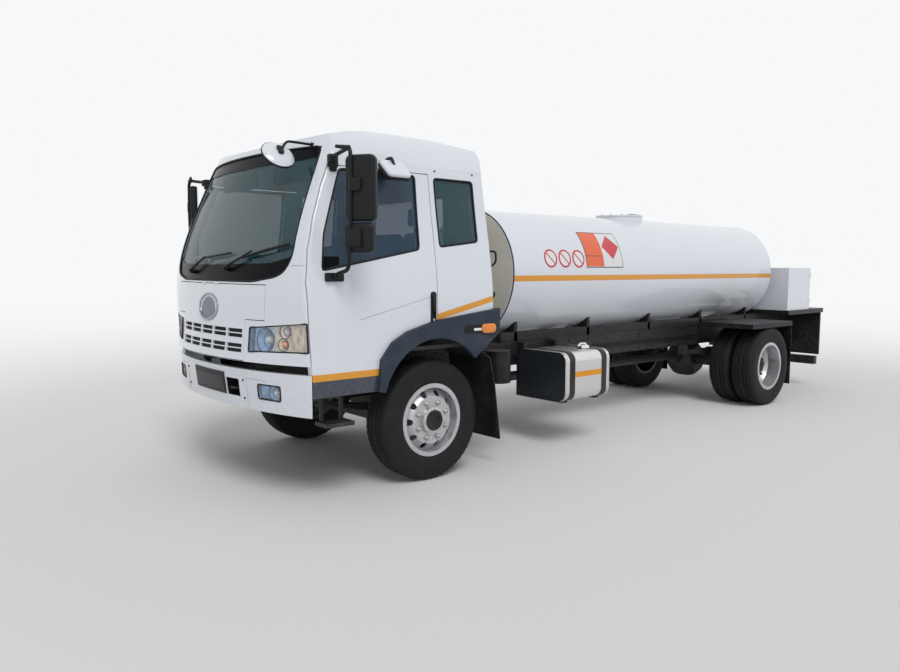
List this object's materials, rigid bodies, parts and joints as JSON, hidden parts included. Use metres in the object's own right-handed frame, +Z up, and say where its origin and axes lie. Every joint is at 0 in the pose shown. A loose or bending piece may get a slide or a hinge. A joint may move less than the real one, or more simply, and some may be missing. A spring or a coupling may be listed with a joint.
{
  "type": "tanker truck",
  "caption": "Rigid tanker truck: tilting forward-control cab, round fuel barrel on a ladder frame, pump cabinet on a rear deck, twin rear wheels.",
  "frame": {"origin": "on the ground under the middle of the truck's length and width", "axes": "+X forward to the cab, +Y to the truck's left, +Z up"},
  "size_m": [9.1898, 3.144, 2.833],
  "materials": {
    "white_paint": "gloss white paint",
    "chassis_black": "satin black chassis paint",
    "dark_plastic": "dark slate moulded plastic",
    "cab_trim": "grey cab moulding",
    "seat_fabric": "grey woven seat cloth",
    "tyre_rubber": "black tyre rubber",
    "wheel_silver": "silver wheel paint",
    "cast_grey": "cast and forged running gear",
    "polished_alloy": "polished aluminium",
    "clear_glass": "tinted cab glass",
    "lamp_glass": "clear lamp lens",
    "lamp_red": "red lamp lens",
    "black_plastic": "black moulded plastic"
  },
  "bodies": {
    "chassis": {"chassis_frame": "chassis_black", "front_axle_beam": "cast_grey", "leaf_springs": "cast_grey", "rear_axle": "cast_grey", "engine_block": "cast_grey", "drive_shaft": "cast_grey", "tank_shell": "white_paint", "tank_subframe": "chassis_black", "rear_deck": "white_paint", "pump_cabinet": "white_paint", "rear_panel": "chassis_black", "underrun_bar": "chassis_black", "tail_lamps": "lamp_red", "rear_mudguards": "black_plastic", "front_mudguards": "black_plastic", "steps": "chassis_black", "fuel_tank": "polished_alloy", "fuel_tank_brackets": "chassis_black", "battery_box": "chassis_black", "air_tanks": "chassis_black", "exhaust_silencer": "chassis_black", "air_cleaner": "black_plastic", "front_bumper": "white_paint", "fog_lamps": "lamp_glass"},
    "cab": {"cab_shell": "white_paint", "cab_floor": "cab_trim", "cab_roof": "white_paint", "cab_glass": "clear_glass", "headlamps": "lamp_glass", "arch_flares": "dark_plastic", "dashboard": "cab_trim", "seats": "seat_fabric", "steering_wheel": "black_plastic", "front_mirror": "black_plastic"},
    "front_flap": {"front_flap": "white_paint"},
    "door_left": {"door_left": "white_paint", "door_left_glass": "clear_glass", "mirrors_left": "black_plastic"},
    "door_right": {"door_right": "white_paint", "door_right_glass": "clear_glass", "mirrors_right": "black_plastic"},
    "knuckle_left": {"knuckle_left": "cast_grey"},
    "knuckle_right": {"knuckle_right": "cast_grey"},
    "track_rod": {"track_rod": "cast_grey"},
    "wheel_front_left": {"tyre_front_left": "tyre_rubber", "rim_front_left": "wheel_silver"},
    "wheel_front_right": {"tyre_front_right": "tyre_rubber", "rim_front_right": "wheel_silver"},
    "wheels_rear_left": {"tyres_rear_left": "tyre_rubber", "rims_rear_left": "wheel_silver"},
    "wheels_rear_right": {"tyres_rear_right": "tyre_rubber", "rims_rear_right": "wheel_silver"},
    "cabinet_door_left": {"cabinet_door_left": "white_paint"},
    "cabinet_door_right": {"cabinet_door_right": "white_paint"},
    "manlid": {"manlid": "white_paint"}
  },
  "joints": [
    {"name": "cab_tilt", "type": "hinge", "parent": "chassis", "child": "cab", "pos_m": [4.395, 0, 0.986], "axis": [0, 1, 0], "range_deg": [0, 45]},
    {"name": "door_left_hinge", "type": "hinge", "parent": "cab", "child": "door_left", "pos_m": [4.345, 1.205, 1.6], "axis": [0, 0, -1], "range_deg": [0, 65]},
    {"name": "door_right_hinge", "type": "hinge", "parent": "cab", "child": "door_right", "pos_m": [4.345, -1.205, 1.6], "axis": [0, 0, 1], "range_deg": [0, 65]},
    {"name": "front_flap_hinge", "type": "hinge", "parent": "cab", "child": "front_flap", "pos_m": [4.531, 0, 1.634], "axis": [0, -1, 0], "range_deg": [0, 80]},
    {"name": "steer_left", "type": "hinge", "parent": "chassis", "child": "knuckle_left", "pos_m": [3.125, 0.88, 0.505], "axis": [0, 0, 1], "range_deg": [-35, 35]},
    {"name": "steer_right", "type": "hinge", "parent": "chassis", "child": "knuckle_right", "pos_m": [3.125, -0.88, 0.505], "axis": [0, 0, 1], "range_deg": [-35, 35]},
    {"name": "track_rod_pivot", "type": "hinge", "parent": "knuckle_left", "child": "track_rod", "pos_m": [2.95, 0.88, 0.366], "axis": [0, 0, 1], "range_deg": [-35, 35]},
    {"name": "spin_front_left", "type": "hinge", "parent": "knuckle_left", "child": "wheel_front_left", "pos_m": [3.125, 0.972, 0.505], "axis": [0, 1, 0], "continuous": true},
    {"name": "spin_front_right", "type": "hinge", "parent": "knuckle_right", "child": "wheel_front_right", "pos_m": [3.125, -0.972, 0.505], "axis": [0, 1, 0], "continuous": true},
    {"name": "spin_rear_left", "type": "hinge", "parent": "chassis", "child": "wheels_rear_left", "pos_m": [-2.365, 0.9345, 0.505], "axis": [0, 1, 0], "continuous": true},
    {"name": "spin_rear_right", "type": "hinge", "parent": "chassis", "child": "wheels_rear_right", "pos_m": [-2.365, -0.9345, 0.505], "axis": [0, 1, 0], "continuous": true},
    {"name": "cabinet_door_left_hinge", "type": "hinge", "parent": "chassis", "child": "cabinet_door_left", "pos_m": [-4.191, 0.868, 1.46], "axis": [0, 0, -1], "range_deg": [0, 110]},
    {"name": "cabinet_door_right_hinge", "type": "hinge", "parent": "chassis", "child": "cabinet_door_right", "pos_m": [-4.191, -0.868, 1.46], "axis": [0, 0, 1], "range_deg": [0, 110]},
    {"name": "manlid_hinge", "type": "hinge", "parent": "chassis", "child": "manlid", "pos_m": [-0.775, -0.322, 2.3873], "axis": [1, 0, 0], "range_deg": [0, 100]}
  ],
  "couplings": [
    {"joint": "steer_right", "follows": "steer_left", "ratio": 1},
    {"joint": "track_rod_pivot", "follows": "steer_left", "ratio": -1}
  ]
}
